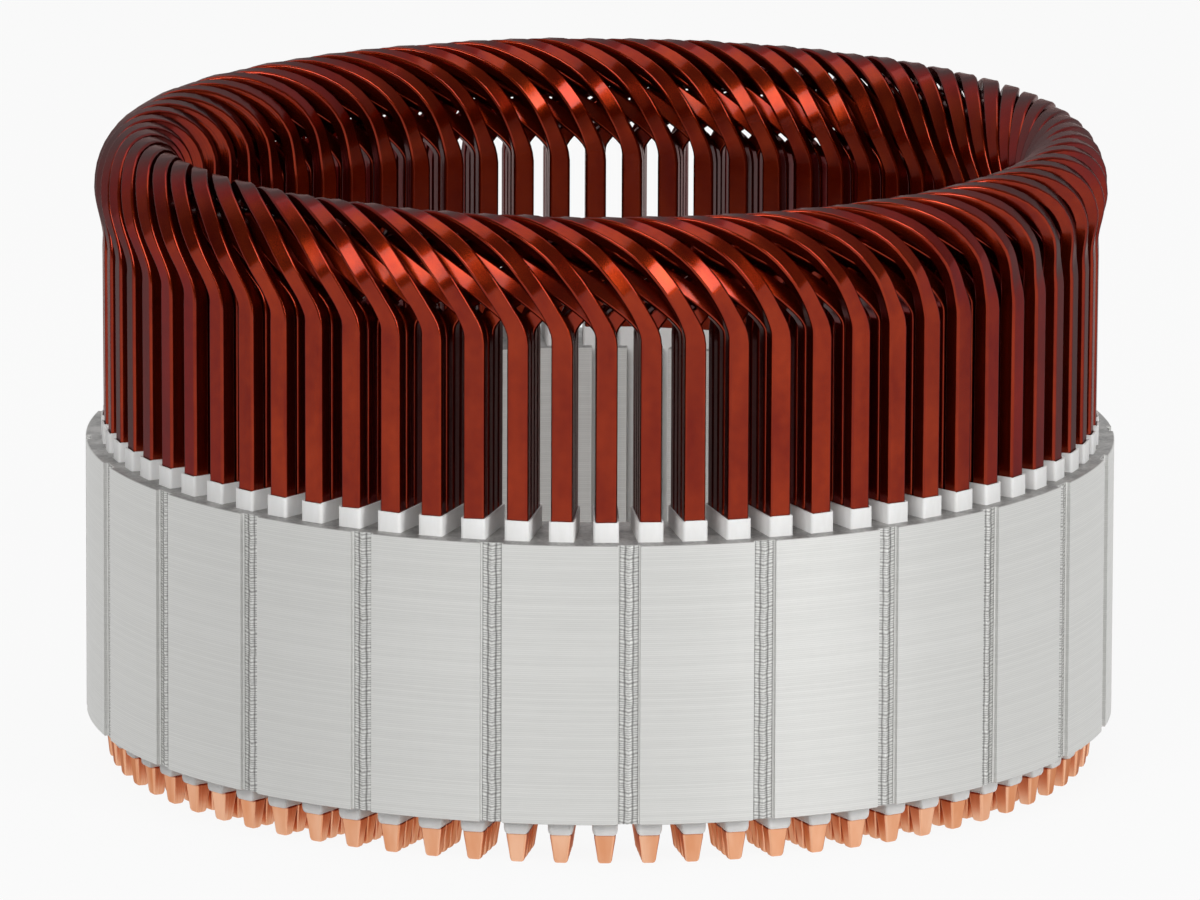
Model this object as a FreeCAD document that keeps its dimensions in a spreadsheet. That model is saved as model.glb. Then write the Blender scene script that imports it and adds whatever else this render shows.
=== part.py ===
"""Hairpin stator: a welded lamination stack with slot liners and a hairpin winding."""
import FreeCAD, Part
import math
import os
import Sketcher

# Every driving size: alias, value (mm, degrees or a count), meaning.
SIZES = [
    ("sheetThickness", 0.35, "one electrical steel lamination"),
    ("sheetCount", 139, "laminations in the stack"),
    ("boreRadius", 71.5, "bore that the rotor turns in"),
    ("backIron", 2.7, "steel between the slots and the outer wall"),
    ("slotCount", 72, "slots around the bore"),
    ("slotWidth", 4.4, "parallel-sided slot"),
    ("slotDepth", 13.7, "slot, radially, without its mouth"),
    ("slotLip", 2.1, "tooth tip between the bore and the slot"),
    ("slotMouth", 1.2, "gap between two tooth tips"),
    ("grooveCount", 24, "weld grooves in the outer wall"),
    ("grooveWidth", 3.9, "weld groove, along the wall"),
    ("grooveDepth", 0.8, "weld groove, radially"),
    ("linerWall", 0.3, "insulating paper"),
    ("linerClearance", 0.03, "liner to slot wall"),
    ("linerTopStand", 3.5, "liner above the stack"),
    ("linerBottomStand", 2.5, "liner below the stack"),
    ("poleCount", 12, "magnetic poles: a hairpin spans one"),
    ("wireSideGap", 0.02, "wire to liner, at each side"),
    ("wireEndGap", 0.37, "row of wires to liner, at each end of the slot"),
    ("layerGap", 0.1, "between two wires of a slot"),
    ("legStand", 36.3, "straight leg above the stack"),
    ("legSplay", 0.35, "outer hairpin's legs, away from the slot's middle at their bends"),
    ("nestSplay", 0.1, "inner hairpin's legs, away from the slot's middle at their bends"),
    ("crownStand", 55.4, "top of the outer crown above the stack"),
    ("crownBulge", 1.6, "outer crown beyond its own legs, each side"),
    ("crownTurn", 45.0, "outer crown's shoulder, round the arch from its flank, in degrees"),
    ("outerLean", 43.0, "outer crown's outer flank, from upright, in degrees"),
    ("innerLean", 27.0, "outer crown's inner flank, from upright, in degrees"),
    ("archFade", 0.9, "way round by each side of the outer arch for its length, over the side before"),
    ("nestGap", 0.45, "between the two crowns, at the flanks"),
    ("nestInset", 0.25, "inner crown's corners, further in than its flanks need"),
    ("crestGap", 1.0, "between the two crowns, at the crest"),
    ("tipStand", 7.65, "wire end below the stack"),
    ("tipLength", 4.65, "tapered bare end of a wire"),
    ("tipWidth", 2.5, "wire end's width"),
    ("tipThickness", 2.0, "wire end's thickness"),
]

doc = FreeCAD.newDocument("HairpinStator")
sheet = doc.addObject("Spreadsheet::Sheet", "Sizes")
for row, (alias, value, meaning) in enumerate(SIZES, start=1):
    sheet.set("A%d" % row, alias)
    sheet.set("B%d" % row, str(value))
    sheet.set("C%d" % row, meaning)
    sheet.setAlias("B%d" % row, alias)
doc.recompute()

Z_AXIS = FreeCAD.Vector(0, 0, 1)
STACK_HEIGHT = "Sizes.sheetThickness * Sizes.sheetCount"
SLOT_START = "Sizes.boreRadius + Sizes.slotLip"
OUTER_WALL = SLOT_START + " + Sizes.slotDepth + Sizes.backIron"
LAYERS = 4  # wires in a slot: the legs of two hairpins, one nested in the other
SLACK = 0.01  # weight that keeps a straight run's section square, too small to move a mitre


def size(alias):
    """Value of a named size, as a plain number."""
    return float(sheet.get(alias))


def slotStart():
    """Radius at which a slot opens out behind the tooth tips."""
    return size("boreRadius") + size("slotLip")


def outerWall():
    """Radius of the stack: the bore, the tooth tips, the slots and the steel behind them."""
    return slotStart() + size("slotDepth") + size("backIron")


def stackHeight():
    """Height of all the laminations together."""
    return size("sheetThickness") * size("sheetCount")


def wireWidth():
    """Wire across the slot: what the liner leaves, less a gap at each side."""
    return size("slotWidth") - 2 * (size("linerClearance") + size("linerWall") + size("wireSideGap"))


def wireThickness():
    """Wire along the slot: its layers share what the liner leaves."""
    row = size("slotDepth") - 2 * (size("linerClearance") + size("linerWall") + size("wireEndGap"))
    return (row - (LAYERS - 1) * size("layerGap")) / LAYERS


def originFeature(body, role):
    """Plane or axis of a body's own origin."""
    return next(item for item in body.Origin.OriginFeatures if item.Role == role)


def sketchOn(body, name):
    """Empty sketch on the body's XY plane."""
    sketch = body.newObject("Sketcher::SketchObject", name)
    sketch.AttachmentSupport = (originFeature(body, "XY_Plane"), [""])
    sketch.MapMode = "FlatFace"
    return sketch


def bindLength(sketch, index, name, formula):
    """Tie one dimension of a sketch to the sheet."""
    sketch.renameConstraint(index, name)
    sketch.setExpression("Constraints." + name, formula)


def addCircle(sketch, name, value, formula):
    """Circle round the origin, its radius tied to the sheet."""
    circle = sketch.addGeometry(Part.Circle(FreeCAD.Vector(), Z_AXIS, value))
    sketch.addConstraint(Sketcher.Constraint("Coincident", circle, 3, -1, 1))
    radius = sketch.addConstraint(Sketcher.Constraint("Radius", circle, value))
    bindLength(sketch, radius, name, formula)


def addRadialRectangle(sketch, start, end, width, formulas):
    """Rectangle that lies along the X axis, centred on it."""
    corners = [FreeCAD.Vector(x, y, 0) for x, y in
               ((start, -width / 2), (end, -width / 2), (end, width / 2), (start, width / 2))]
    for first, second in zip(corners, corners[1:] + corners[:1]):
        sketch.addGeometry(Part.LineSegment(first, second))
    for side in range(4):
        sketch.addConstraint(Sketcher.Constraint("Coincident", side, 2, (side + 1) % 4, 1))
    sketch.addConstraint(Sketcher.Constraint("Horizontal", 0))
    sketch.addConstraint(Sketcher.Constraint("Horizontal", 2))
    sketch.addConstraint(Sketcher.Constraint("Vertical", 1))
    sketch.addConstraint(Sketcher.Constraint("Symmetric", 3, 2, 3, 1, -1))
    values = (("Start", Sketcher.Constraint("DistanceX", -1, 1, 0, 1, start)),
              ("End", Sketcher.Constraint("DistanceX", -1, 1, 0, 2, end)),
              ("Width", Sketcher.Constraint("DistanceY", 1, 1, 1, 2, width)))
    for (name, constraint), formula in zip(values, formulas):
        bindLength(sketch, sketch.addConstraint(constraint), name, formula)


def throughPocket(body, sketch, name):
    """Pocket from the sketch up through the whole stack."""
    pocket = body.newObject("PartDesign::Pocket", name)
    pocket.Profile = sketch
    pocket.Type = "ThroughAll"
    pocket.Reversed = True
    sketch.Visibility = False
    return pocket


def ringPattern(body, originals, name, count):
    """Repeat features evenly around the stack's axis."""
    pattern = body.newObject("PartDesign::PolarPattern", name)
    pattern.Originals = originals
    pattern.Axis = (originFeature(body, "Z_Axis"), [""])
    pattern.Angle = 360
    pattern.setExpression("Occurrences", count)
    body.Tip = pattern
    return pattern


def makeLaminationStack():
    """Ring of welded sheets, slotted from the bore and grooved outside for the weld seams."""
    body = doc.addObject("PartDesign::Body", "LaminationStack")
    body.Label = "lamination_stack"

    ring = sketchOn(body, "RingProfile")
    addCircle(ring, "Outer", outerWall(), OUTER_WALL)
    addCircle(ring, "Bore", size("boreRadius"), "Sizes.boreRadius")
    pad = body.newObject("PartDesign::Pad", "Ring")
    pad.Profile = ring
    pad.setExpression("Length", STACK_HEIGHT)
    ring.Visibility = False

    slot = sketchOn(body, "SlotProfile")
    addRadialRectangle(slot, slotStart(), slotStart() + size("slotDepth"), size("slotWidth"),
                       (SLOT_START, SLOT_START + " + Sizes.slotDepth", "Sizes.slotWidth"))
    mouth = sketchOn(body, "MouthProfile")
    addRadialRectangle(mouth, size("boreRadius") - size("slotMouth"), slotStart(), size("slotMouth"),
                       ("Sizes.boreRadius - Sizes.slotMouth", SLOT_START, "Sizes.slotMouth"))
    for profile in (slot, mouth):
        profile.setExpression("AttachmentOffset.Rotation.Angle", "180 / Sizes.slotCount")
    slotPocket = throughPocket(body, slot, "Slot")
    mouthPocket = throughPocket(body, mouth, "Mouth")
    ringPattern(body, [slotPocket, mouthPocket], "Slots", "Sizes.slotCount")

    # The groove's floor is flat, and its cut runs out through the outer wall.
    groove = sketchOn(body, "GrooveProfile")
    addRadialRectangle(groove, outerWall() - size("grooveDepth"), outerWall() + size("grooveDepth"),
                       size("grooveWidth"), (OUTER_WALL + " - Sizes.grooveDepth",
                                             OUTER_WALL + " + Sizes.grooveDepth", "Sizes.grooveWidth"))
    groovePocket = throughPocket(body, groove, "Groove")
    ringPattern(body, [groovePocket], "Grooves", "Sizes.grooveCount")
    return body


def boundBox(name, formulas):
    """Part::Box whose sides and corner are all tied to the sheet."""
    box = doc.addObject("Part::Box", name)
    for prop, formula in formulas.items():
        box.setExpression(prop, formula)
    return box


def makeLiner():
    """One slot liner on the X axis: a paper sleeve that stands out of both ends of its slot."""
    depth = "(Sizes.slotDepth - 2 * Sizes.linerClearance)"
    width = "(Sizes.slotWidth - 2 * Sizes.linerClearance)"
    height = "(%s + Sizes.linerTopStand + Sizes.linerBottomStand)" % STACK_HEIGHT
    outside = boundBox("LinerOutside", {
        "Length": depth, "Width": width, "Height": height,
        "Placement.Base.x": SLOT_START + " + Sizes.linerClearance",
        "Placement.Base.y": "-%s / 2" % width,
        "Placement.Base.z": "-Sizes.linerBottomStand"})
    inside = boundBox("LinerInside", {
        "Length": depth + " - 2 * Sizes.linerWall",
        "Width": width + " - 2 * Sizes.linerWall",
        "Height": height + " + 2 * Sizes.linerWall",
        "Placement.Base.x": SLOT_START + " + Sizes.linerClearance + Sizes.linerWall",
        "Placement.Base.y": "-(%s / 2 - Sizes.linerWall)" % width,
        "Placement.Base.z": "-Sizes.linerBottomStand - Sizes.linerWall"})
    liner = doc.addObject("Part::Cut", "SlotLiner")
    liner.Base = outside
    liner.Tool = inside
    return liner


def spot(radius, height, azimuth):
    """Point in cylindrical coordinates about the stack's axis."""
    return FreeCAD.Vector(radius * math.cos(azimuth), radius * math.sin(azimuth), height)


def meetingPoint(planes, along):
    """Point nearest to all the planes (normal, distance), without a step along the run."""
    sums = [[first * second for second in along] for first in along]
    target = [0.0, 0.0, 0.0]
    for normal, distance in planes:
        for row in range(3):
            target[row] += normal[row] * distance
            for column in range(3):
                sums[row][column] += normal[row] * normal[column]
    cells = [value for row in sums for value in row + [0.0]]
    return FreeCAD.Matrix(*cells, 0.0, 0.0, 0.0, 1.0).inverse() * FreeCAD.Vector(*target)


def barSections(stations):
    """Corners of the wire's rectangle at each station (radius, height, azimuth, width, thickness).

    The wire's wide side lies on the arch that the crown follows. Each corner is where the sides
    of the two runs that join there meet, so the wire keeps its section on both sides of a bend.
    """
    points = [spot(*station[:3]) for station in stations]
    runs = []
    for first, last, before, after in zip(stations, stations[1:], points, points[1:]):
        along = (after - before).normalize()
        climb = FreeCAD.Vector(last[0] - first[0], last[1] - first[1], 0).normalize()
        azimuth = (first[2] + last[2]) / 2
        outward = FreeCAD.Vector(climb.y * math.cos(azimuth), climb.y * math.sin(azimuth), -climb.x)
        across = along.cross(outward).normalize()
        runs.append((along, across, across.cross(along)))
    sections = []
    for index, (point, station) in enumerate(zip(points, stations)):
        joined = [runs[max(index - 1, 0)], runs[min(index, len(runs) - 1)]]
        width, thickness = station[3:]
        along = (joined[0][0] + joined[1][0]) * SLACK
        corners = []
        for side, face in ((-1, -1), (1, -1), (1, 1), (-1, 1)):
            planes = [(across, side * width / 2) for _, across, _ in joined]
            planes += [(outward, face * thickness / 2) for _, _, outward in joined]
            corners.append(point + meetingPoint(planes, along))
        sections.append(corners)
    return sections


def flatFace(corners):
    """Plane face through points that lie in one plane."""
    return Part.Face(Part.makePolygon(corners + corners[:1]))


def makeBar(sections):
    """Solid with flat sides through the sections: a twisted side is folded on its diagonal.

    Opposite sides fold along like diagonals, so that neighbouring wires keep their gap.
    """
    faces = [flatFace(sections[0]), flatFace(sections[-1])]
    for first, second in zip(sections, sections[1:]):
        for side in range(4):
            ahead = (side + 1) % 4
            ring = [first[side], first[ahead], second[ahead], second[side]]
            plane = (ring[1] - ring[0]).cross(ring[3] - ring[0])
            if abs(plane.dot(ring[2] - ring[0])) < 1e-7 * plane.Length:
                faces.append(flatFace(ring))
                continue
            if side > 1:
                ring = ring[1:] + ring[:1]
            faces.append(flatFace(ring[:3]))
            faces.append(flatFace([ring[0], ring[2], ring[3]]))
    solid = Part.makeSolid(Part.makeShell(faces))
    if solid.Volume < 0:
        solid.reverse()
    return solid


def legRadius(layer):
    """Middle of a wire's leg: layer 0 lies at the slot's outer end, layer 3 at its mouth."""
    middle = slotStart() + size("slotDepth") / 2
    return middle + ((LAYERS - 1) / 2 - layer) * (wireThickness() + size("layerGap"))


def makeHairpin(name, outerLayer, innerLayer, splay, arch):
    """One hairpin: two straight legs a pole apart and the crown that joins them over the arch.

    arch lists the crown's points (radius, height, share of the way round) between the bends.
    """
    wire = (wireWidth(), wireThickness())
    end = (size("tipWidth"), size("tipThickness"))
    tip = -size("tipStand")
    shoulder = tip + size("tipLength")
    bend = stackHeight() + size("legStand")
    pole = -math.radians(360 / size("poleCount"))
    outer, inner = legRadius(outerLayer), legRadius(innerLayer)
    stations = [(outer, tip, 0.0) + end, (outer, shoulder, 0.0) + wire, (outer + splay, bend, 0.0) + wire]
    stations += [(radius, height, pole * share) + wire for radius, height, share in arch]
    stations += [(inner - splay, bend, pole) + wire, (inner, shoulder, pole) + wire]
    stations += [(inner, tip, pole) + end]
    hairpin = doc.addObject("Part::Feature", name)
    hairpin.Shape = makeBar(barSections(stations))
    return hairpin


def crownHalf():
    """Half the width of the outer crown, from one flank's middle to the other's."""
    return (legRadius(0) - legRadius(LAYERS - 1)) / 2 + size("crownBulge")


def crownCrest():
    """Height of the outer crown's middle line at its top."""
    return stackHeight() + size("crownStand") - wireThickness() / 2


def outerArch():
    """Crown of a large hairpin: leaning flanks, then three sides over the top."""
    middle = (legRadius(0) + legRadius(LAYERS - 1)) / 2
    half, crest = crownHalf(), crownCrest()
    turn = math.radians(size("crownTurn"))
    flat = half * math.cos(turn)
    base = crest - half * math.sin(turn)
    climb = base - stackHeight() - size("legStand")
    pole = math.radians(360 / size("poleCount"))
    share = climb * math.tan(math.radians(size("outerLean"))) / (middle + half) / pole
    last = 1 - climb * math.tan(math.radians(size("innerLean"))) / (middle - half) / pole
    corners = [(middle + half, base), (middle + flat, crest), (middle - flat, crest), (middle - half, base)]
    steps = [math.dist(start, end) * size("archFade") ** side
             for side, (start, end) in enumerate(zip(corners, corners[1:]))]
    arch = [corners[0] + (share,)]
    for corner, step in zip(corners[1:], steps):
        share += (last - arch[0][2]) * step / sum(steps)
        arch.append(corner + (share,))
    return arch


def innerArch():
    """Crown of a small hairpin, nested in the outer one: an even lean up, across and down."""
    middle = (legRadius(1) + legRadius(LAYERS - 2)) / 2
    half = crownHalf() - wireThickness() - size("nestGap") - size("nestInset")
    crest = crownCrest() - wireThickness() - size("crestGap")
    rise = crest - stackHeight() - size("legStand")
    whole = 2 * rise + 2 * half
    return [(middle + half, crest, rise / whole), (middle - half, crest, 1 - rise / whole)]


def makeGroup(kind, prototype, pole, clocking):
    """The pieces of one pole: a copy of the prototype for each of its slots."""
    pitch = 360 / size("slotCount")
    perPole = round(size("slotCount") / size("poleCount"))
    copies = []
    for slot in range(perPole):
        piece = prototype.Shape.copy()
        piece.rotate(FreeCAD.Vector(), Z_AXIS, (slot + clocking) * pitch)
        copies.append(piece)
    group = doc.addObject("Part::Feature", "%s%02d" % (prototype.Name, pole + 1))
    group.Label = "%s_pole_%02d" % (kind, pole + 1)
    group.Shape = Part.makeCompound(copies)
    group.Placement = FreeCAD.Placement(FreeCAD.Vector(), FreeCAD.Rotation(Z_AXIS, pole * perPole * pitch))
    return group


stack = makeLaminationStack()
liner = makeLiner()
doc.recompute()
largeHairpin = makeHairpin("LargeHairpin", 0, LAYERS - 1, size("legSplay"), outerArch())
smallHairpin = makeHairpin("SmallHairpin", 1, LAYERS - 2, size("nestSplay"), innerArch())

subParts = [stack]
for kind, prototype in (("slot_liners", liner), ("large_hairpins", largeHairpin),
                        ("small_hairpins", smallHairpin)):
    subParts += [makeGroup(kind, prototype, pole, 0.5) for pole in range(round(size("poleCount")))]
doc.recompute()

# The pockets must have cut: the stack is much lighter than the plain ring.
plainRing = math.pi * (outerWall() ** 2 - size("boreRadius") ** 2) * stackHeight()
slotsCut = size("slotCount") * size("slotWidth") * size("slotDepth") * stackHeight()
assert stack.Shape.Volume < plainRing - slotsCut, "slots or grooves were not cut"

for item in doc.Objects:
    assert not {"Invalid", "Error"} & set(item.State), item.Label + " failed: " + str(item.State)
for item in subParts:
    assert not item.Shape.isNull() and item.Shape.isValid(), item.Label + " has no valid shape"

os.makedirs("parts", exist_ok=True)
for item in subParts:
    item.Shape.exportStep(os.path.join("parts", item.Label + ".step"))
print("exported", len(subParts), "sub-parts")
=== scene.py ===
import math

import bpy
import numpy as np
from mathutils import Matrix, Vector
from mathutils.geometry import tessellate_polygon


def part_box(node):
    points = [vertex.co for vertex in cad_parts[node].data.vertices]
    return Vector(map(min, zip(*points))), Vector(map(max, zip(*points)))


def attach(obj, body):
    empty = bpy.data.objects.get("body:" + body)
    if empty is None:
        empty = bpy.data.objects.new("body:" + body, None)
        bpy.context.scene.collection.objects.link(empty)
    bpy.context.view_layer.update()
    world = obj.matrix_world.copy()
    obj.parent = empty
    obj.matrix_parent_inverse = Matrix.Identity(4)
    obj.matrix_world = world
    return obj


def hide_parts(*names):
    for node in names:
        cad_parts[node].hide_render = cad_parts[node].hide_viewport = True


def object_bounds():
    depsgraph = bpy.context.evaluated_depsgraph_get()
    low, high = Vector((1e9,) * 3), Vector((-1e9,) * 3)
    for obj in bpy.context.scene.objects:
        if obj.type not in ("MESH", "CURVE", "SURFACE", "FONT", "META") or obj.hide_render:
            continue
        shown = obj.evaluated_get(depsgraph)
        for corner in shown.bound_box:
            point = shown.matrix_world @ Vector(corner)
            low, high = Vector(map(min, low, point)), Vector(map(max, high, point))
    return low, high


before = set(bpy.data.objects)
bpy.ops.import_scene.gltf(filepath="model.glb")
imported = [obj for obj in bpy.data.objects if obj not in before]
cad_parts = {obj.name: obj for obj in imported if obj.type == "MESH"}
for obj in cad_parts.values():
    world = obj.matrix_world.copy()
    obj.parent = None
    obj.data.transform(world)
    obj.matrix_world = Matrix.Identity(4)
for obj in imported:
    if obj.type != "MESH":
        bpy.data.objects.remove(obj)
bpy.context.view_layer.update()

mm = 0.001
stackLow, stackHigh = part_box("lamination_stack")
stackTop = stackHigh.z
outerRadius = stackHigh.x
slotCount = 72
poleCount = 12
slotPitch = math.tau / slotCount
polePitch = math.tau / poleCount
slotsPerPole = slotCount // poleCount
print("frame loaded, stack height", round(stackTop / mm, 2), "mm")


# shared helpers

def newPiece(name, vertices, faces, nodes=(), normals=None, uv=None):
    # puts a grid of points into a mesh object at the origin and lets it ride on the stator
    mesh = bpy.data.meshes.new(name)
    mesh.from_pydata(vertices.tolist() if hasattr(vertices, "tolist") else vertices, [], faces)
    mesh.validate(clean_customdata=False)
    mesh.polygons.foreach_set("use_smooth", np.ones(len(mesh.polygons), bool))
    if uv is not None:
        layer = mesh.uv_layers.new(name="along")
        index = np.zeros(len(mesh.loops), np.int32)
        mesh.loops.foreach_get("vertex_index", index)
        layer.data.foreach_set("uv", uv[index].astype(np.float32).ravel())
    mesh.update()
    if normals is not None:
        mesh.normals_split_custom_set_from_vertices(normals.tolist())
    piece = bpy.data.objects.new(name, mesh)
    bpy.context.scene.collection.objects.link(piece)
    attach(piece, "root")
    if nodes:
        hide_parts(*nodes)
    return piece


def gridFaces(rows, columns):
    # quads of a grid of rows x columns points whose columns close on themselves
    row = np.arange(rows - 1)[:, None] * columns
    column = np.arange(columns)[None, :]
    ahead = (column + 1) % columns
    return np.stack([row + column, row + ahead, row + columns + ahead, row + columns + column],
                    axis=-1).reshape(-1, 4)


def roundedRectangle(width, depth, radius, perCorner):
    # outline points and outward normals of a rectangle whose corners are quarter circles
    turn = np.linspace(0, math.pi / 2, perCorner)
    points, normals = [], []
    for quarter, (sx, sy) in enumerate(((1, 1), (-1, 1), (-1, -1), (1, -1))):
        angle = turn + quarter * math.pi / 2
        normal = np.stack([np.cos(angle), np.sin(angle)], axis=1)
        points.append(normal * radius + [sx * (width / 2 - radius), sy * (depth / 2 - radius)])
        normals.append(normal)
    return np.concatenate(points), np.concatenate(normals)


def turned(points, angle):
    # points turned about the stator's axis
    c, s = math.cos(angle), math.sin(angle)
    return points @ np.array([[c, s, 0], [-s, c, 0], [0, 0, 1]])


# node groups that several materials share

def groupWith(name, inputs, outputs):
    group = bpy.data.node_groups.new(name, "ShaderNodeTree")
    for socket, kind, value in inputs:
        made = group.interface.new_socket(name=socket, in_out="INPUT", socket_type=kind)
        if value is not None:
            made.default_value = value
    for socket, kind in outputs:
        group.interface.new_socket(name=socket, in_out="OUTPUT", socket_type=kind)
    return group, group.nodes.new("NodeGroupInput"), group.nodes.new("NodeGroupOutput")


def worked(tree, operation, first, second=None):
    # one Math node on two sockets or numbers
    node = tree.nodes.new("ShaderNodeMath")
    node.operation = operation
    for index, value in enumerate((first, second)):
        if value is None:
            continue
        if isinstance(value, bpy.types.NodeSocket):
            tree.links.new(value, node.inputs[index])
        else:
            node.inputs[index].default_value = value
    return node.outputs[0]


def noise(tree, vector, scale, detail):
    node = tree.nodes.new("ShaderNodeTexNoise")
    node.inputs["Scale"].default_value = scale
    node.inputs["Detail"].default_value = detail
    tree.links.new(vector, node.inputs["Vector"])
    return node.outputs["Fac"]


def mapped(tree, vector, scale):
    node = tree.nodes.new("ShaderNodeMapping")
    node.inputs["Scale"].default_value = scale
    tree.links.new(vector, node.inputs["Vector"])
    return node.outputs["Vector"]


def ranged(tree, value, fromLow, fromHigh, toLow=0.0, toHigh=1.0, smooth=False):
    node = tree.nodes.new("ShaderNodeMapRange")
    if smooth:
        node.interpolation_type = "SMOOTHSTEP"
    for socket, number in zip(("From Min", "From Max", "To Min", "To Max"),
                              (fromLow, fromHigh, toLow, toHigh)):
        node.inputs[socket].default_value = number
    tree.links.new(value, node.inputs["Value"])
    return node.outputs["Result"]


def blended(tree, fac, first, second):
    # the first colour where fac is 0, the second where it is 1
    node = tree.nodes.new("ShaderNodeMix")
    node.data_type = "RGBA"
    for socket, value in ((node.inputs[0], fac), (node.inputs[6], first), (node.inputs[7], second)):
        if isinstance(value, bpy.types.NodeSocket):
            tree.links.new(value, socket)
        else:
            socket.default_value = value
    return node.outputs[2]


def bumped(tree, height, strength, distance):
    node = tree.nodes.new("ShaderNodeBump")
    node.inputs["Strength"].default_value = strength
    node.inputs["Distance"].default_value = distance
    tree.links.new(height, node.inputs["Height"])
    return node.outputs["Normal"]


def newMaterial(name):
    material = bpy.data.materials.new(name)
    material.use_nodes = True
    tree = material.node_tree
    tree.nodes.clear()
    shader = tree.nodes.new("ShaderNodeBsdfPrincipled")
    output = tree.nodes.new("ShaderNodeOutputMaterial")
    tree.links.new(shader.outputs[0], output.inputs["Surface"])
    place = tree.nodes.new("ShaderNodeTexCoord").outputs["Object"]
    return material, tree, shader, place


def convexEdgesGroup():
    # a mask that is 1 on convex edges, from how far the bevelled normal leans from the true one
    group, entry, leaving = groupWith(
        "convexEdges", [("Reach", "NodeSocketFloat", 0.0003), ("Gain", "NodeSocketFloat", 4.0)],
        [("Mask", "NodeSocketFloat")])
    bevel = group.nodes.new("ShaderNodeBevel")
    bevel.samples = 4
    group.links.new(entry.outputs["Reach"], bevel.inputs["Radius"])
    geometry = group.nodes.new("ShaderNodeNewGeometry")
    dot = group.nodes.new("ShaderNodeVectorMath")
    dot.operation = "DOT_PRODUCT"
    group.links.new(bevel.outputs[0], dot.inputs[0])
    group.links.new(geometry.outputs["True Normal"], dot.inputs[1])
    lean = worked(group, "SUBTRACT", 1.0, dot.outputs["Value"])
    mask = worked(group, "MULTIPLY", lean, entry.outputs["Gain"])
    group.links.new(worked(group, "MINIMUM", mask, 1.0), leaving.inputs["Mask"])
    return group


def blotchGroup():
    # soft blotches at two sizes, centred on 0.5
    group, entry, leaving = groupWith(
        "blotches", [("Vector", "NodeSocketVector", None), ("Size", "NodeSocketFloat", 120.0)],
        [("Mask", "NodeSocketFloat")])
    large = group.nodes.new("ShaderNodeTexNoise")
    small = group.nodes.new("ShaderNodeTexNoise")
    for node, times in ((large, 1.0), (small, 6.0)):
        node.inputs["Detail"].default_value = 4.0
        group.links.new(entry.outputs["Vector"], node.inputs["Vector"])
        group.links.new(worked(group, "MULTIPLY", entry.outputs["Size"], times), node.inputs["Scale"])
    both = worked(group, "ADD", worked(group, "MULTIPLY", large.outputs["Fac"], 0.6),
                 worked(group, "MULTIPLY", small.outputs["Fac"], 0.4))
    group.links.new(both, leaving.inputs["Mask"])
    return group


convexEdges = convexEdgesGroup()
blotches = blotchGroup()


def placed(tree, group, **values):
    node = tree.nodes.new("ShaderNodeGroup")
    node.node_tree = group
    for name, value in values.items():
        if isinstance(value, bpy.types.NodeSocket):
            tree.links.new(value, node.inputs[name])
        else:
            node.inputs[name].default_value = value
    return node.outputs["Mask"]


# lamination stack

stackLook = dict(
    sheet=0.35 * mm, rimChamfer=0.12 * mm, edgeChamfer=0.06 * mm,
    boreRadius=71.5 * mm, lip=2.1 * mm, mouth=1.2 * mm, slotWidth=4.4 * mm, slotDepth=13.7 * mm,
    grooveCount=24, grooveWidth=3.9 * mm, grooveDepth=0.8 * mm, grooveRound=0.25 * mm,
    arcSteps=14, tipSteps=5, cornerSteps=5, sharpAbove=20)
# the steel's colours and finish: tones of single sheets on the wall, the gap between two, the flat
# ends, and the lighter colour given to convex edges
steelLook = dict(
    wallDark=(0.71, 0.71, 0.69, 1), wallLight=(0.77, 0.77, 0.75, 1), gapColour=(0.30, 0.30, 0.29, 1),
    gapShare=0.22, endDark=(0.22, 0.215, 0.21, 1), endLight=(0.46, 0.45, 0.44, 1), endBlotch=260.0,
    edgeColour=(0.80, 0.80, 0.78, 1), edgeShare=0.7, streak=(220, 220, 2600), metallic=0.55,
    roughness=0.40, roughSpread=0.08, bump=0.25, bumpDepth=0.06 * mm)


def arcPoints(radius, start, end, steps):
    # points at even steps along a circle about the axis
    angle = np.linspace(start, end, steps)
    return np.stack([radius * np.cos(angle), radius * np.sin(angle)], axis=1)


def sectorPoints(points, angle):
    c, s = math.cos(angle), math.sin(angle)
    return points @ np.array([[c, s], [-s, c]])


def outerOutline():
    # arcs of the outer wall, with a flat-floored groove at every fifteen degrees, anticlockwise
    look = stackLook
    radius, depth, half = outerRadius, look["grooveDepth"], look["grooveWidth"] / 2
    edge = math.asin(half / radius)
    pitch = math.tau / look["grooveCount"]
    r = look["grooveRound"]
    turn = np.linspace(0, math.pi / 2, look["cornerSteps"])
    floor = radius - depth
    lowCorner = np.stack([floor + r - r * np.cos(turn), -half + r - r * np.sin(turn)], axis=1)[::-1]
    highCorner = lowCorner[::-1] * [1, -1]
    groove = np.concatenate([[[radius * math.cos(edge), -half]], lowCorner,
                             [[floor, 0.0]], highCorner, [[radius * math.cos(edge), half]]])
    wall = arcPoints(radius, edge, pitch - edge, look["arcSteps"])[1:-1]
    one = np.concatenate([groove, wall])
    return np.concatenate([sectorPoints(one, k * pitch) for k in range(look["grooveCount"])])


def innerOutline():
    # tooth tips and slots, one pitch repeated, anticlockwise
    look = stackLook
    bore, start = look["boreRadius"], look["boreRadius"] + look["lip"]
    end, half, gap = start + look["slotDepth"], look["slotWidth"] / 2, look["mouth"] / 2
    edge = math.asin(gap / bore)
    slot = np.array([[bore * math.cos(edge), -gap], [start, -gap], [start, -half], [end, -half],
                     [end, half], [start, half], [start, gap], [bore * math.cos(edge), gap]])
    tip = arcPoints(bore, edge, slotPitch - edge, look["tipSteps"])[1:-1]
    one = np.concatenate([slot, tip])
    return np.concatenate([sectorPoints(one, (k + 0.5) * slotPitch) for k in range(slotCount)])


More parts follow.
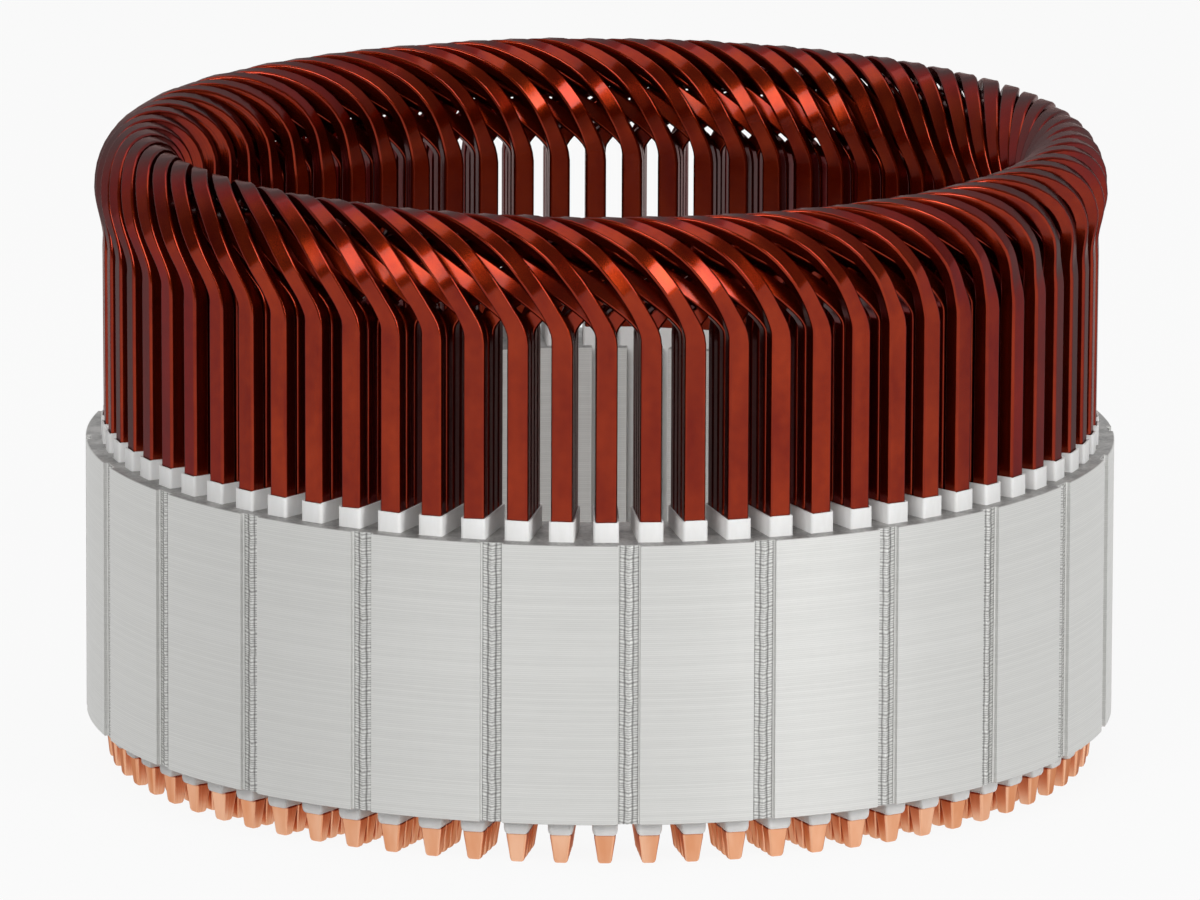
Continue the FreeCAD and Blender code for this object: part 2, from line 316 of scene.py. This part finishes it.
def shrunk(loop, distance):
    # each corner moved into the steel by a distance measured square to both of its sides
    before, after = np.roll(loop, 1, axis=0), np.roll(loop, -1, axis=0)
    a, b = loop - before, after - loop
    a /= np.linalg.norm(a, axis=1)[:, None]
    b /= np.linalg.norm(b, axis=1)[:, None]
    left = np.stack([-(a + b)[:, 1], (a + b)[:, 0]], axis=1)
    left /= np.linalg.norm(left, axis=1)[:, None]
    cosine = np.clip((left * np.stack([-a[:, 1], a[:, 0]], axis=1)).sum(1), 0.5, 1)
    return loop + left * (distance / cosine)[:, None]


def makeStack():
    # the outer and inner outlines carried up the stack, chamfered at both ends, with flat end faces
    look = stackLook
    outer, inner = outerOutline(), innerOutline()
    loops = ((outer, 1, look["rimChamfer"]), (inner, -1, look["edgeChamfer"]))
    vertices, faces, rims = [], [], []
    for loop, side, chamfer in loops:
        start, count = sum(len(v) for v in vertices), len(loop)
        inset = shrunk(loop, side * chamfer)
        levels = ((inset, 0.0), (loop, chamfer), (loop, stackTop - chamfer), (inset, stackTop))
        vertices += [np.column_stack([flat, np.full(count, z)]) for flat, z in levels]
        quads = gridFaces(4, count) + start
        faces += (quads if side > 0 else quads[:, ::-1]).tolist()
        rims.append((start, start + 3 * count, count, inset))
    flats = [[Vector((x, y, 0)) for x, y in rim[3]] for rim in rims]
    triangles = tessellate_polygon(flats)
    lookup = [np.concatenate([rim[end] + np.arange(rim[2]) for rim in rims]) for end in (0, 1)]
    low, high = lookup
    allFlat = np.concatenate([rims[0][3], rims[1][3]])
    for triangle in triangles:
        a, b, c = (allFlat[i] for i in triangle)
        if (b[0] - a[0]) * (c[1] - a[1]) - (b[1] - a[1]) * (c[0] - a[0]) < 0:
            triangle = triangle[::-1]
        faces.append([int(high[i]) for i in triangle])
        faces.append([int(low[i]) for i in triangle[::-1]])
    return newPiece("laminationStack", np.concatenate(vertices), faces,
                    ["lamination_stack"])


def smoothByAngle(piece, degrees):
    mesh = piece.data
    mesh.polygons.foreach_set("use_smooth", np.ones(len(mesh.polygons), bool))
    mesh.set_sharp_from_angle(angle=math.radians(degrees))


stack = makeStack()
smoothByAngle(stack, stackLook["sharpAbove"])


def steelMaterial():
    look = steelLook
    material, tree, shader, place = newMaterial("laminationSteel")
    split = tree.nodes.new("ShaderNodeSeparateXYZ")
    tree.links.new(place, split.inputs[0])
    normal = tree.nodes.new("ShaderNodeNewGeometry").outputs["Normal"]
    up = tree.nodes.new("ShaderNodeSeparateXYZ")
    tree.links.new(normal, up.inputs[0])
    flat = ranged(tree, worked(tree, "ABSOLUTE", up.outputs["Z"]), 0.6, 0.9)
    # each sheet has its own tone: a random value for the sheet's number
    count = worked(tree, "DIVIDE", split.outputs["Z"], stackLook["sheet"])
    number = worked(tree, "FLOOR", count)
    tone = tree.nodes.new("ShaderNodeTexWhiteNoise")
    tone.noise_dimensions = "1D"
    tree.links.new(number, tone.inputs["W"])
    patch = noise(tree, mapped(tree, place, look["streak"]), 1.0, 2.0)
    sheetTone = worked(tree, "ADD", worked(tree, "MULTIPLY", tone.outputs["Value"], 0.5),
                      worked(tree, "MULTIPLY", patch, 0.5))
    within = worked(tree, "FRACT", count)
    gap = ranged(tree, worked(tree, "ABSOLUTE", worked(tree, "SUBTRACT", within, 0.5)), 0.30, 0.5,
                 smooth=True)
    wall = blended(tree, ranged(tree, sheetTone, 0.2, 0.8), look["wallDark"], look["wallLight"])
    wall = blended(tree, worked(tree, "MULTIPLY", gap, look["gapShare"]), wall, look["gapColour"])
    blotch = placed(tree, blotches, Vector=place, Size=look["endBlotch"])
    ends = blended(tree, ranged(tree, blotch, 0.38, 0.62), look["endDark"], look["endLight"])
    base = blended(tree, flat, wall, ends)
    # convex edges are given a lighter colour
    edgeMask = placed(tree, convexEdges, Reach=0.00025, Gain=3.0)
    base = blended(tree, worked(tree, "MULTIPLY", edgeMask, look["edgeShare"]), base, look["edgeColour"])
    tree.links.new(base, shader.inputs["Base Color"])
    shader.inputs["Metallic"].default_value = look["metallic"]
    rough = worked(tree, "ADD", worked(tree, "MULTIPLY", sheetTone, look["roughSpread"]), look["roughness"])
    tree.links.new(rough, shader.inputs["Roughness"])
    ridge = worked(tree, "SUBTRACT", worked(tree, "MULTIPLY", sheetTone, 0.25),
                   worked(tree, "MULTIPLY", gap, 0.6))
    height = worked(tree, "MULTIPLY", ridge, worked(tree, "SUBTRACT", 1.0, flat))
    speck = noise(tree, place, 2500.0, 2.0)
    height = worked(tree, "ADD", height, worked(tree, "MULTIPLY", speck, 0.25))
    tree.links.new(bumped(tree, height, look["bump"], look["bumpDepth"]), shader.inputs["Normal"])
    return material


steel = steelMaterial()
stack.data.materials.append(steel)
print("stack built:", len(stack.data.polygons), "faces")


# weld seams: a thin beaded ridge down the middle of each groove

# the seam's shape and colours, among them the painted shade of its valleys and corners
weldLook = dict(width=3.3 * mm, ridge=0.28 * mm, ridgeHalf=0.50 * mm, ripple=0.035 * mm,
                beadPitch=0.46 * mm, levels=230, across=13, darkBead=(0.36, 0.355, 0.345, 1),
                lightBead=(0.82, 0.82, 0.80, 1), paintedGrooveShade=(0.10, 0.098, 0.094, 1), paintedGrooveShadeShare=0.7,
                metallic=0.7, bump=0.5, bumpDepth=0.06 * mm)


def makeWelds():
    # a strip over each groove's floor: a rounded ridge down its middle, and a bump for each bead
    # of the seam, swept back from the middle like a row of scales
    look = weldLook
    z = np.linspace(0.05 * mm, stackTop - 0.05 * mm, look["levels"])[:, None]
    u = np.linspace(-1, 1, look["across"])[None, :]
    y = u * look["width"] / 2
    pitch = math.tau / stackLook["grooveCount"]
    floor = outerRadius - stackLook["grooveDepth"] + 0.01 * mm
    vertices, faces, uv, start = [], [], [], 0
    for k in range(stackLook["grooveCount"]):
        wander = (0.06 * mm * np.sin(z * 700 + k) + 0.04 * mm * np.sin(z * 1900 + 2 * k)) * (1 - u * u)
        phase = (z / look["beadPitch"] - 0.5 * np.abs(u) + 0.35 * np.sin(z * 2600 + 5 * k)
                 + 0.2 * np.sin(z * 900 + k))
        bead = np.abs(np.cos(math.pi * phase))
        ridge = np.clip(1 - (y / look["ridgeHalf"]) ** 2, 0, 1) ** 0.5
        x = floor + look["ridge"] * ridge * (0.7 + 0.3 * bead) + look["ripple"] * bead * (1 - u ** 4)
        points = np.stack([x, y + wander, np.broadcast_to(z, x.shape)], axis=-1).reshape(-1, 3)
        vertices.append(turned(points, k * pitch))
        uv.append(np.stack([np.broadcast_to(u, x.shape), phase], axis=-1).reshape(-1, 2))
        row = np.arange(look["levels"] - 1)[:, None] * look["across"]
        column = np.arange(look["across"] - 1)[None, :]
        quads = np.stack([row + column, row + column + 1, row + look["across"] + column + 1,
                          row + look["across"] + column], axis=-1).reshape(-1, 4) + start
        faces += quads.tolist()
        start += look["levels"] * look["across"]
    return newPiece("weldSeams", np.concatenate(vertices), faces,
                    uv=np.concatenate(uv))


def weldMaterial():
    look = weldLook
    material, tree, shader, place = newMaterial("weldSeam")
    along = tree.nodes.new("ShaderNodeUVMap")
    along.uv_map = "along"
    split = tree.nodes.new("ShaderNodeSeparateXYZ")
    tree.links.new(along.outputs[0], split.inputs[0])
    speck = noise(tree, place, 2200.0, 3.0)
    side = worked(tree, "ABSOLUTE", split.outputs["X"])
    # painted shade: the two valleys beside the ridge and the groove's corners are darkened
    fromValley = worked(tree, "ABSOLUTE", worked(tree, "SUBTRACT", side, 0.42))
    valley = ranged(tree, fromValley, 0.02, 0.16, 1.0, 0.0)
    corner = ranged(tree, side, 0.86, 0.98)
    # the bead tone is lighter on each bead's crest, a painted highlight, and speckled at random
    wave = worked(tree, "COSINE", worked(tree, "MULTIPLY", split.outputs["Y"], math.pi))
    bead = worked(tree, "ABSOLUTE", wave)
    both = worked(tree, "ADD", worked(tree, "MULTIPLY", bead, 0.6), worked(tree, "MULTIPLY", speck, 0.6))
    base = blended(tree, ranged(tree, both, 0.35, 0.95), look["darkBead"], look["lightBead"])
    dark = worked(tree, "MULTIPLY", worked(tree, "MAXIMUM", valley, corner), look["paintedGrooveShadeShare"])
    base = blended(tree, dark, base, look["paintedGrooveShade"])
    tree.links.new(base, shader.inputs["Base Color"])
    shader.inputs["Metallic"].default_value = look["metallic"]
    tree.links.new(ranged(tree, speck, 0.3, 0.7, 0.5, 0.28), shader.inputs["Roughness"])
    tree.links.new(bumped(tree, speck, look["bump"], look["bumpDepth"]), shader.inputs["Normal"])
    return material


welds = makeWelds()
welds.data.materials.append(weldMaterial())
print("weld seams built")


# slot liners

linerLook = dict(
    wall=0.3 * mm, clearance=0.03 * mm, topStand=3.5 * mm, bottomStand=2.5 * mm,
    cornerRadius=0.55 * mm, perCorner=4, ragged=0.12 * mm, sharpAbove=35,
    fibreDark=(0.89, 0.885, 0.87, 1), fibreLight=(0.94, 0.935, 0.925, 1), edgeColour=(0.95, 0.95, 0.94, 1),
    edgeShare=0.4, fibre=(900, 900, 250), roughness=0.75, bump=0.25, bumpDepth=0.04 * mm)


def makeLiner(angle, seed):
    # a rounded rectangle carried up the slot, its walls doubled, its top edge slightly uneven
    look = linerLook
    shape = np.random.default_rng(seed)
    depth = stackLook["slotDepth"] - 2 * look["clearance"]
    width = stackLook["slotWidth"] - 2 * look["clearance"]
    middle = stackLook["boreRadius"] + stackLook["lip"] + stackLook["slotDepth"] / 2
    outside, _ = roundedRectangle(depth, width, look["cornerRadius"], look["perCorner"])
    inside, _ = roundedRectangle(depth - 2 * look["wall"], width - 2 * look["wall"],
                                 look["cornerRadius"] - look["wall"], look["perCorner"])
    count = len(outside)
    low, high = -look["bottomStand"], stackTop + look["topStand"]
    around = np.linspace(0, math.tau, count, endpoint=False)
    uneven = look["ragged"] * (np.sin(around * 2 + shape.uniform(0, 6)) * 0.5
                               + shape.uniform(-1, 1, count) * 0.35 - 0.85)
    heights = [(outside, low + 0.9 * mm, 0.0), (outside, 0.0 * mm, 0.0), (outside, stackTop, 0.0),
               (outside, high - 0.5 * mm, 0.0), (outside, high, 1.0), (inside, high, 1.0),
               (inside, high - 0.8 * mm, 0.0), (inside, low + 0.9 * mm, 0.0)]
    levels = []
    rows = [(0.55, outside, low), (0.85, outside, low + 0.3 * mm)]
    for share, outline, z in rows:
        pulled = outline * [1 - (1 - share) * 0.05, 1 - (1 - share) * 0.45]
        levels.append(np.column_stack([pulled, np.full(count, z)]))
    for outline, z, ragged in heights:
        levels.append(np.column_stack([outline, z + uneven * ragged]))
    levels.append(np.column_stack([inside * [0.99, 0.80], np.full(count, low + 0.05 * mm)]))
    points = np.concatenate(levels)
    points[:, 0] += middle
    faces = gridFaces(len(levels), count)
    last = (len(levels) - 1) * count
    ring = np.arange(count)
    close = np.stack([last + ring, last + (ring + 1) % count, (ring + 1) % count, ring], axis=-1)
    return turned(points, angle), np.concatenate([faces, close])


def paperMaterial():
    look = linerLook
    material, tree, shader, place = newMaterial("linerPaper")
    fibre = noise(tree, mapped(tree, place, look["fibre"]), 1.0, 4.0)
    base = blended(tree, ranged(tree, fibre, 0.3, 0.7), look["fibreDark"], look["fibreLight"])
    # convex edges are given a lighter colour
    edgeMask = placed(tree, convexEdges, Reach=0.00015, Gain=2.0)
    base = blended(tree, worked(tree, "MULTIPLY", edgeMask, look["edgeShare"]), base, look["edgeColour"])
    tree.links.new(base, shader.inputs["Base Color"])
    shader.inputs["Roughness"].default_value = look["roughness"]
    shader.inputs["Subsurface Weight"].default_value = 0.08
    shader.inputs["Subsurface Radius"].default_value = (0.0008, 0.0007, 0.0006)
    shader.inputs["Subsurface Scale"].default_value = 1.0
    tree.links.new(bumped(tree, fibre, look["bump"], look["bumpDepth"]), shader.inputs["Normal"])
    return material


paper = paperMaterial()
for pole in range(poleCount):
    parts = [makeLiner((pole * slotsPerPole + slot + 0.5) * slotPitch, 100 + pole * slotsPerPole + slot)
             for slot in range(slotsPerPole)]
    offsets = np.cumsum([0] + [len(v) for v, _ in parts[:-1]])
    piece = newPiece("slotLiners%02d" % (pole + 1), np.concatenate([v for v, _ in parts]),
                     np.concatenate([f + o for (_, f), o in zip(parts, offsets)]).tolist(),
                     ["slot_liners_pole_%02d" % (pole + 1)])
    smoothByAngle(piece, linerLook["sharpAbove"])
    piece.data.materials.append(paper)
print("liners built")


# hairpins

wireLook = dict(
    width=3.7 * mm, thickness=3.0 * mm, layerGap=0.1 * mm, corner=0.55 * mm, perCorner=4,
    legStand=35.4 * mm, stations=44, crownWidth=0.79, crownThickness=0.82, bendReach=2.0 * mm,
    legRun=88 * mm, tipStand=7.65 * mm, tipLength=4.65 * mm, turnSpread=0.0012, heightSpread=0.25 * mm)
# each crown: half its width, its crest above the stack, how far down its arch reaches, its legs'
# splay, and its lean and twist in degrees at even steps from the outer bend over to the inner one. Near
# the crest each small crown cuts into the next one round, by up to 0.6 mm
largeCrown = dict(
    half=6.4 * mm, crest=53.7 * mm, arch=9.4 * mm, splay=0.35 * mm,
    lean=(24, 29, 37, 45, 59, 63, 59, 44, 32, 24, 20), twist=(0, 10, 18, 20, 14, 0, -14, -20, -18, -10, 0))
smallCrown = dict(
    half=2.4 * mm, crest=49.3 * mm, arch=6.0 * mm, splay=0.1 * mm,
    lean=(34, 46, 52, 56, 59, 60, 59, 56, 52, 46, 34), twist=(4, 12, 18, 16, 8, 0, -8, -16, -18, -12, -4))


def legRadius(layer):
    middle = stackLook["boreRadius"] + stackLook["lip"] + stackLook["slotDepth"] / 2
    return middle + (1.5 - layer) * (wireLook["thickness"] + wireLook["layerGap"])


def hairpinPath(small, wobble):
    # the wire's middle line over the crown: the flanks ease outwards from the legs into half an
    # ellipse, and the tangent of the lean, summed along the way, carries the line round the bore
    look, crown = wireLook, smallCrown if small else largeCrown
    layers = (1, 2) if small else (0, 3)
    middle = (legRadius(0) + legRadius(3)) / 2
    legHalf = legRadius(layers[0]) - middle + crown["splay"]
    bend, crest = stackTop + look["legStand"], stackTop + crown["crest"]
    base = crest - crown["arch"]
    climb = np.linspace(0, 1, 80, endpoint=False)
    ease = climb * climb * (3 - 2 * climb)
    flankR = legHalf + (crown["half"] - legHalf) * ease
    flankZ = bend + (base - bend) * climb
    turn = np.linspace(0, math.pi, 161)
    radius = middle + np.concatenate([flankR, crown["half"] * np.cos(turn), -flankR[::-1]])
    height = np.concatenate([flankZ, base + crown["arch"] * np.sin(turn), flankZ[::-1]])
    down = np.linspace(0, 6 * mm, 40)[1:]
    splay = crown["splay"] * (1 - down / look["legRun"])
    radius = np.concatenate([(legRadius(layers[0]) + splay)[::-1], radius, legRadius(layers[1]) - splay])
    height = np.concatenate([(bend - down)[::-1], height, bend - down])
    length = np.concatenate([[0], np.cumsum(np.hypot(np.diff(radius), np.diff(height)))])
    first, last = length[len(down)], length[-len(down) - 1]
    share = (length - first) / (last - first)
    steps = np.linspace(0, 1, len(crown["lean"]))
    reach = look["bendReach"] / (last - first)
    onset = (np.clip((share + reach) / (2 * reach), 0, 1)
             * np.clip((1 + reach - share) / (2 * reach), 0, 1))
    onset = onset * onset * (3 - 2 * onset)
    rate = np.interp(share, steps, np.tan(np.radians(crown["lean"]))) * onset / radius
    swept = np.concatenate([[0], np.cumsum((rate[1:] + rate[:-1]) / 2 * np.diff(length))])
    azimuth = -polePitch * swept / swept[-1]
    twist = np.radians(np.interp(share, steps, crown["twist"])) * onset
    over = np.clip(share, 0, 1)
    azimuth = azimuth + wobble[0] * np.sin(math.pi * over) ** 2
    height = height + wobble[1] * np.clip((height - bend) / (20 * mm), 0, 1)
    keep = np.unique(np.interp(np.linspace(0, 1, look["stations"]), np.linspace(0, 1, len(length)),
                               np.arange(len(length))).round().astype(int))
    for _ in range(3):
        twist[1:-1] = (twist[:-2] + 2 * twist[1:-1] + twist[2:]) / 4
    drawn = np.interp(share, (-0.04, 0.10, 0.90, 1.04), (0, 1, 1, 0))[keep]
    return radius[keep], height[keep], azimuth[keep], twist[keep], layers, drawn


def hairpinSections(small, wobble):
    # a rounded rectangle at each station of the path, its wide side lying on the arch
    look = wireLook
    radius, height, azimuth, twist, layers, drawn = hairpinPath(small, wobble)
    tip = -look["tipStand"]
    shoulder = tip + look["tipLength"]
    # height above the tip, then the section's width and thickness there
    ends = ((tip, 0.46, 0.46), (tip + 0.12 * mm, 0.56, 0.60), (tip + 0.5 * mm, 0.66, 0.70),
            (tip + 0.6 * look["tipLength"], 0.84, 0.86), (shoulder - 0.25 * mm, 0.98, 0.98),
            (shoulder + 0.25 * mm, 1.0, 1.0), (0.0, 1.0, 1.0), (stackTop, 1.0, 1.0))
    endZ = np.array([e[0] for e in ends])
    crown = smallCrown if small else largeCrown
    splay = crown["splay"] * (endZ - shoulder).clip(0) / (stackTop + look["legStand"] - shoulder)
    r = np.concatenate([legRadius(layers[0]) + splay, radius, (legRadius(layers[1]) - splay)[::-1]])
    z = np.concatenate([endZ, height, endZ[::-1]])
    a = np.concatenate([np.zeros(len(ends)), azimuth, np.full(len(ends), -polePitch)])
    wide = np.concatenate([[e[1] for e in ends], 1 - (1 - look["crownWidth"]) * drawn,
                           [e[1] for e in ends][::-1]])
    thick = np.concatenate([[e[2] for e in ends], 1 - (1 - look["crownThickness"]) * drawn,
                            [e[2] for e in ends][::-1]])
    centre = np.stack([r * np.cos(a), r * np.sin(a), z], axis=1)
    along = np.gradient(centre, axis=0)
    along /= np.linalg.norm(along, axis=1)[:, None]
    dr, dz = np.gradient(r), np.gradient(z)
    run = np.hypot(dr, dz)
    outward = np.stack([dz / run * np.cos(a), dz / run * np.sin(a), -dr / run], axis=1)
    across = np.cross(along, outward)
    across /= np.linalg.norm(across, axis=1)[:, None]
    outward = np.cross(across, along)
    roll = np.concatenate([np.zeros(len(ends)), twist, np.zeros(len(ends))])[:, None]
    across, outward = (across * np.cos(roll) - outward * np.sin(roll),
                       outward * np.cos(roll) + across * np.sin(roll))
    outline, normals = roundedRectangle(look["width"], look["thickness"], look["corner"], look["perCorner"])
    flat = outline[None, :, :] * np.stack([wide, thick], axis=1)[:, None, :]
    points = centre[:, None, :] + across[:, None, :] * flat[..., :1] + outward[:, None, :] * flat[..., 1:]
    face = across[:, None, :] * normals[None, :, :1] + outward[:, None, :] * normals[None, :, 1:]
    lengths = np.concatenate([[0], np.cumsum(np.linalg.norm(np.diff(centre, axis=0), axis=1))])
    around = np.linspace(0, 1, len(outline))
    uv = np.stack([np.broadcast_to(around[None, :] * 13 * mm, points.shape[:2]),
                   np.broadcast_to(lengths[:, None], points.shape[:2])], axis=-1)
    return points, face, uv


def makeHairpin(small, angle, seed):
    shape = np.random.default_rng(seed)
    look = wireLook
    wobble = (shape.normal(0, look["turnSpread"]), shape.uniform(-look["heightSpread"], 0.0))
    points, face, uv = hairpinSections(small, wobble)
    rows, count = points.shape[:2]
    faces = gridFaces(rows, count)[:, ::-1].tolist()
    last = (rows - 1) * count
    faces.append(list(range(count)))
    faces.append(list(range(last, last + count))[::-1])
    uv = uv + [0, shape.uniform(0, 5)]
    points, face = turned(points.reshape(-1, 3), angle), turned(face.reshape(-1, 3), angle)
    return points, faces, face, uv.reshape(-1, 2)


# the enamel's colours, among them the painted shade it turns to where it is seen aslant
enamelLook = dict(
    darkRed=(0.19, 0.009, 0.0012, 1), lightRed=(0.33, 0.030, 0.004, 1), paintedSlantShade=(0.045, 0.0025, 0.003, 1),
    darkCopper=(0.84, 0.37, 0.19, 1), lightCopper=(0.98, 0.56, 0.36, 1), enamelEnd=(-2.7 * mm, -2.4 * mm),
    copperRough=0.34, enamelRough=0.24, metallic=0.9, coatHeadOn=0.30, coatSlant=0.12, coatRough=0.10,
    coatIndex=1.55, edgeTint=(0.34, 0.11, 0.08, 1), bump=0.22, bumpDepth=0.25 * mm)


def enamelMaterial():
    look = enamelLook
    material, tree, shader, place = newMaterial("enamelledCopper")
    split = tree.nodes.new("ShaderNodeSeparateXYZ")
    tree.links.new(place, split.inputs[0])
    ragged = noise(tree, place, 700.0, 2.0)
    cut = worked(tree, "ADD", split.outputs["Z"], worked(tree, "MULTIPLY", ragged, 0.0002))
    enamel = ranged(tree, cut, *look["enamelEnd"])
    along = tree.nodes.new("ShaderNodeUVMap")
    along.uv_map = "along"
    streak = noise(tree, mapped(tree, along.outputs[0], (500, 60, 1)), 1.0, 3.0)
    cloud = placed(tree, blotches, Vector=place, Size=90.0)
    tone = worked(tree, "ADD", worked(tree, "MULTIPLY", streak, 0.5), worked(tree, "MULTIPLY", cloud, 0.5))
    red = blended(tree, ranged(tree, tone, 0.35, 0.65), look["darkRed"], look["lightRed"])
    # painted shade: seen aslant, the enamel's base colour is blended towards a dark maroon
    slant = tree.nodes.new("ShaderNodeLayerWeight")
    slant.inputs["Blend"].default_value = 0.5
    red = blended(tree, ranged(tree, slant.outputs["Facing"], 0.25, 0.85), red, look["paintedSlantShade"])
    copper = blended(tree, ranged(tree, streak, 0.35, 0.65), look["darkCopper"], look["lightCopper"])
    tree.links.new(blended(tree, enamel, copper, red), shader.inputs["Base Color"])
    shader.inputs["Metallic"].default_value = look["metallic"]
    rough = blended(tree, enamel, (look["copperRough"],) * 3 + (1,), (look["enamelRough"],) * 3 + (1,))
    tree.links.new(rough, shader.inputs["Roughness"])
    clear = ranged(tree, slant.outputs["Facing"], 0.0, 0.9, look["coatHeadOn"], look["coatSlant"])
    tree.links.new(worked(tree, "MULTIPLY", enamel, clear), shader.inputs["Coat Weight"])
    shader.inputs["Coat Roughness"].default_value = look["coatRough"]
    shader.inputs["Specular Tint"].default_value = look["edgeTint"]
    shader.inputs["Coat IOR"].default_value = look["coatIndex"]
    ripple = noise(tree, mapped(tree, along.outputs[0], (260, 90, 1)), 1.0, 2.0)
    fine = noise(tree, place, 1800.0, 2.0)
    height = worked(tree, "ADD", ripple, worked(tree, "MULTIPLY", fine, 0.12))
    tree.links.new(bumped(tree, height, look["bump"], look["bumpDepth"]), shader.inputs["Normal"])
    return material


enamel = enamelMaterial()
hairpinKinds = ((False, "largeHairpins", "large_hairpins"), (True, "smallHairpins", "small_hairpins"))
for small, word, node in hairpinKinds:
    for pole in range(poleCount):
        first = pole * slotsPerPole
        pins = [makeHairpin(small, (k + 0.5) * slotPitch, 1000 * (1 + small) + k)
                for k in range(first, first + slotsPerPole)]
        offsets = np.cumsum([0] + [len(pin[0]) for pin in pins[:-1]])
        faces = [[i + int(o) for i in f] for pin, o in zip(pins, offsets) for f in pin[1]]
        piece = newPiece("%s%02d" % (word, pole + 1), np.concatenate([p[0] for p in pins]), faces,
                         ["%s_pole_%02d" % (node, pole + 1)],
                         np.concatenate([p[2] for p in pins]), np.concatenate([p[3] for p in pins]))
        piece.data.materials.append(enamel)
print("hairpins built")


# floor, backdrop, light and camera

roomLook = dict(floorSize=4.0, floor=(0.55, 0.55, 0.55), floorGlow=0.92, floorMirror=0.85, worldLight=0.42,
                roomLight=0.12, roomFrom=-0.2, roomTo=0.9)


def makeFloor():
    # a pale diffuse sheet at the tips, which the camera and metal see as nearly white
    look = roomLook
    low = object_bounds()[0][2]
    half = look["floorSize"] / 2
    mesh = bpy.data.meshes.new("floor")
    mesh.from_pydata([(-half, -half, low), (half, -half, low), (half, half, low), (-half, half, low)],
                     [], [(0, 1, 2, 3)])
    floor = bpy.data.objects.new("floor", mesh)
    bpy.context.scene.collection.objects.link(floor)
    material = bpy.data.materials.new("floorPaper")
    material.use_nodes = True
    tree = material.node_tree
    tree.nodes.clear()
    plain = tree.nodes.new("ShaderNodeBsdfDiffuse")
    plain.inputs["Color"].default_value = look["floor"] + (1,)
    glow = tree.nodes.new("ShaderNodeEmission")
    path = tree.nodes.new("ShaderNodeLightPath")
    seen = worked(tree, "ADD", worked(tree, "MULTIPLY", path.outputs["Is Camera Ray"], look["floorGlow"]),
                 worked(tree, "MULTIPLY", path.outputs["Is Glossy Ray"], look["floorMirror"]))
    mix = tree.nodes.new("ShaderNodeMixShader")
    tree.links.new(seen, mix.inputs[0])
    tree.links.new(plain.outputs[0], mix.inputs[1])
    tree.links.new(glow.outputs[0], mix.inputs[2])
    output = tree.nodes.new("ShaderNodeOutputMaterial")
    tree.links.new(mix.outputs[0], output.inputs["Surface"])
    mesh.materials.append(material)


def makeWorld():
    # past the floor the camera sees the Background node's own pale grey, 0.8 of white; metal sees the same
    # behind the part and a dimmer room before it
    look = roomLook
    world = bpy.data.worlds.new("studio")
    bpy.context.scene.world = world
    world.use_nodes = True
    tree = world.node_tree
    tree.nodes.clear()
    path = tree.nodes.new("ShaderNodeLightPath")
    way = tree.nodes.new("ShaderNodeSeparateXYZ")
    tree.links.new(tree.nodes.new("ShaderNodeTexCoord").outputs["Generated"], way.inputs[0])
    room = ranged(tree, way.outputs["Y"], look["roomFrom"], look["roomTo"], look["roomLight"], 1.0,
                  smooth=True)
    mirror = worked(tree, "MAXIMUM", path.outputs["Is Glossy Ray"], path.outputs["Is Transmission Ray"])
    mixed = worked(tree, "ADD", worked(tree, "MULTIPLY", mirror, room),
                  worked(tree, "MULTIPLY", worked(tree, "SUBTRACT", 1.0, mirror), look["worldLight"]))
    strength = worked(tree, "MAXIMUM", mixed, path.outputs["Is Camera Ray"])
    back = tree.nodes.new("ShaderNodeBackground")
    tree.links.new(strength, back.inputs["Strength"])
    output = tree.nodes.new("ShaderNodeOutputWorld")
    tree.links.new(back.outputs[0], output.inputs["Surface"])


def addLamp(name, location, size, power, target=(0, 0, 0.05)):
    data = bpy.data.lights.new(name, "AREA")
    data.shape = "RECTANGLE"
    data.size, data.size_y = size
    data.energy = power
    lamp = bpy.data.objects.new(name, data)
    lamp.location = location
    lamp.rotation_euler = (Vector(target) - Vector(location)).to_track_quat("-Z", "Y").to_euler()
    bpy.context.scene.collection.objects.link(lamp)


# each lamp: where it stands, its width and height, and its power in watts
lampLook = dict(
    keyLight=((-0.5, -1.1, 0.8), (0.8, 0.8), 8.0), fillLight=((0.9, -1.0, 0.55), (0.45, 0.9), 8.0),
    topLight=((0.1, 0.3, 1.3), (1.2, 0.9), 4.0))
cameraLook = dict(distance=2.61, rise=12.4, swing=-3.23, roll=0.227, lens=446.4, up=20.71 * mm, clipEnd=20)


def makeCamera():
    look = cameraLook
    rise, swing = math.radians(look["rise"]), math.radians(look["swing"])
    back = Vector((math.cos(rise) * math.sin(swing), -math.cos(rise) * math.cos(swing), math.sin(rise)))
    right = Vector((math.cos(swing), math.sin(swing), 0))
    up = back.cross(right)
    target = Vector((0, 0, stackTop / 2)) + up * look["up"]
    data = bpy.data.cameras.new("camera")
    data.lens = look["lens"]
    data.clip_end = look["clipEnd"]
    camera = bpy.data.objects.new("camera", data)
    turn = Matrix((right, up, back)).transposed() @ Matrix.Rotation(math.radians(look["roll"]), 3, "Z")
    camera.matrix_world = Matrix.Translation(target + back * look["distance"]) @ turn.to_4x4()
    bpy.context.scene.collection.objects.link(camera)
    bpy.context.scene.camera = camera


makeFloor()
makeWorld()
for lampName, (lampPlace, lampSize, lampPower) in lampLook.items():
    addLamp(lampName, lampPlace, lampSize, lampPower)
makeCamera()
bpy.context.scene.view_settings.view_transform = "Standard"
print("floor, lamps and camera placed")

print("scene ready")
